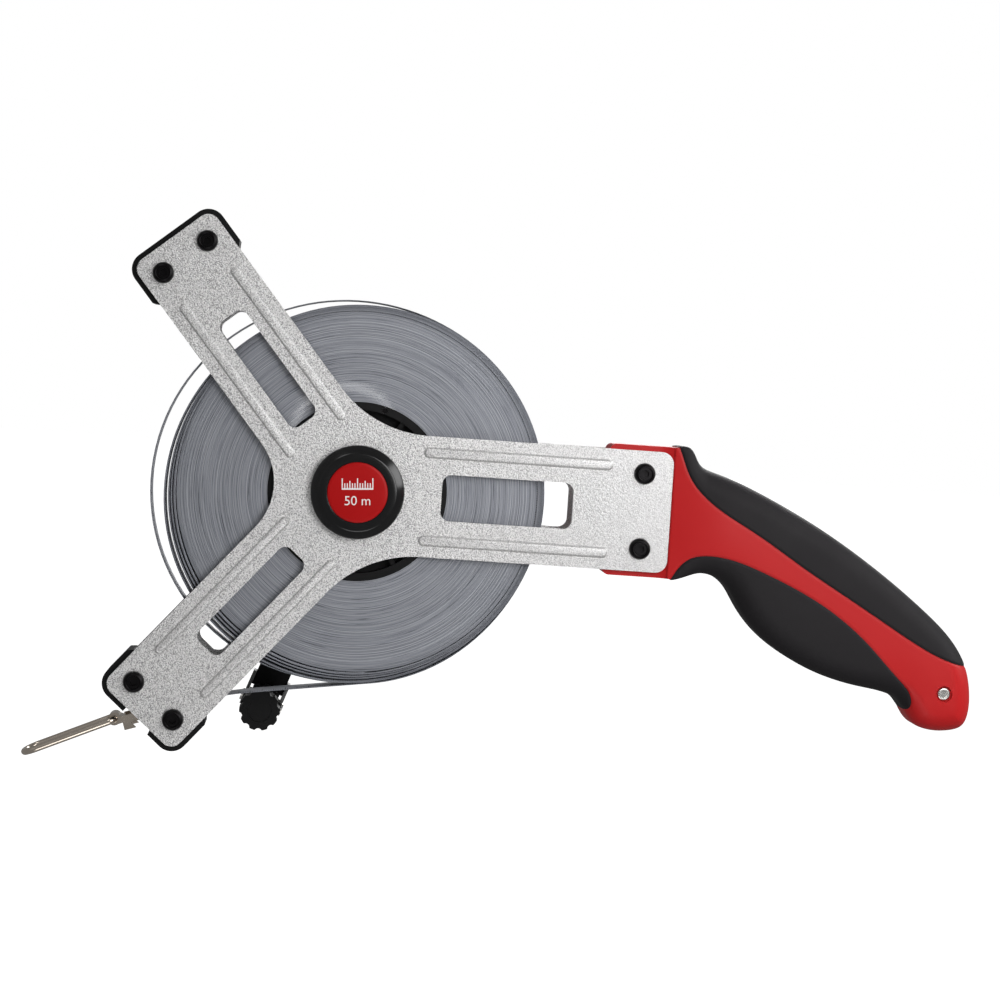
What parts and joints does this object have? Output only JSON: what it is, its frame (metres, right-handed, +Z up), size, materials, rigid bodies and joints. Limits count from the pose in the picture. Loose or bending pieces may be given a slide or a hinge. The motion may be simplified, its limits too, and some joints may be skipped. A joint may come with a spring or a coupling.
{
  "type": "surveyor tape reel",
  "caption": "Open hand reel with a coil of flat steel tape between two three-armed plates, a shaped two-colour handle, a folding crank knob behind and an end ring.",
  "frame": {"origin": "centre of the hub cap's front face, on the drum's axis", "axes": "+X along the handle arm, +Z up, +Y from the front plate to the rear plate"},
  "size_m": [0.4066, 0.0615, 0.2384],
  "materials": {
    "hammertone": "silver hammertone",
    "black_plastic": "satin",
    "hub_black": "semi gloss",
    "badge_red": "gloss print",
    "bush_plastic": "satin",
    "red_plastic": "satin",
    "soft_grip": "matte soft touch",
    "black_steel": "black oxide",
    "bright_steel": "brushed",
    "fork_grey": "dull zinc",
    "nickel_steel": "nickel",
    "tape_steel": "blued coated steel"
  },
  "bodies": {
    "frame": {"front_plate": "hammertone", "rear_plate": "hammertone", "upper_end_spacer": "black_plastic", "mouth_spacer_upper": "black_plastic", "mouth_spacer_lower": "black_plastic", "handle_front_shell": "red_plastic", "handle_rear_shell": "red_plastic", "grip_upper_front": "soft_grip", "grip_upper_rear": "soft_grip", "grip_lower_front": "soft_grip", "grip_lower_rear": "soft_grip", "handle_screw": "bright_steel", "handle_nut": "bright_steel", "frame_screws": "black_steel", "frame_nuts": "black_steel", "front_hub_cap": "hub_black", "hub_badge": "badge_red", "front_bush": "bush_plastic", "rear_bush": "bush_plastic", "tape_slack_lead": "tape_steel"},
    "drum": {"drum_core": "black_plastic", "drum_shaft": "bright_steel", "shaft_clips": "bright_steel", "tape_coil": "tape_steel", "tape_anchor_pin": "bright_steel", "crank_arm": "black_steel", "crank_screw": "black_steel", "crank_washer": "bright_steel", "crank_fork": "fork_grey", "fork_rivets": "bright_steel", "fork_pin": "bright_steel"},
    "knob_stem_body": {"knob_stem": "bright_steel", "knob_retainer": "bright_steel"},
    "knob": {"crank_knob": "black_plastic", "knob_cap": "black_plastic"},
    "tape_end": {"tape_drawn_strip": "tape_steel", "end_clip": "nickel_steel", "clip_rivets": "nickel_steel"},
    "ring": {"end_ring": "nickel_steel"}
  },
  "joints": [
    {"name": "drum_spin", "type": "hinge", "parent": "frame", "child": "drum", "pos_m": [0, 0.017, 0], "axis": [0, -1, 0], "continuous": true},
    {"name": "knob_fold", "type": "hinge", "parent": "drum", "child": "knob_stem_body", "pos_m": [-0.03564, 0.057, -0.09898], "axis": [0.9409, 0, -0.3387], "range_deg": [0, 180]},
    {"name": "knob_spin", "type": "hinge", "parent": "knob_stem_body", "child": "knob", "pos_m": [-0.03564, 0.04, -0.09898], "axis": [0, -1, 0], "continuous": true},
    {"name": "tape_pull", "type": "slide", "parent": "frame", "child": "tape_end", "axis": [-0.9511, 0, -0.309], "range_m": [0, 0.035]},
    {"name": "ring_swing", "type": "hinge", "parent": "tape_end", "child": "ring", "pos_m": [-0.09686, 0.017, -0.10421], "axis": [0, -1, 0], "range_deg": [-60, 75]}
  ]
}
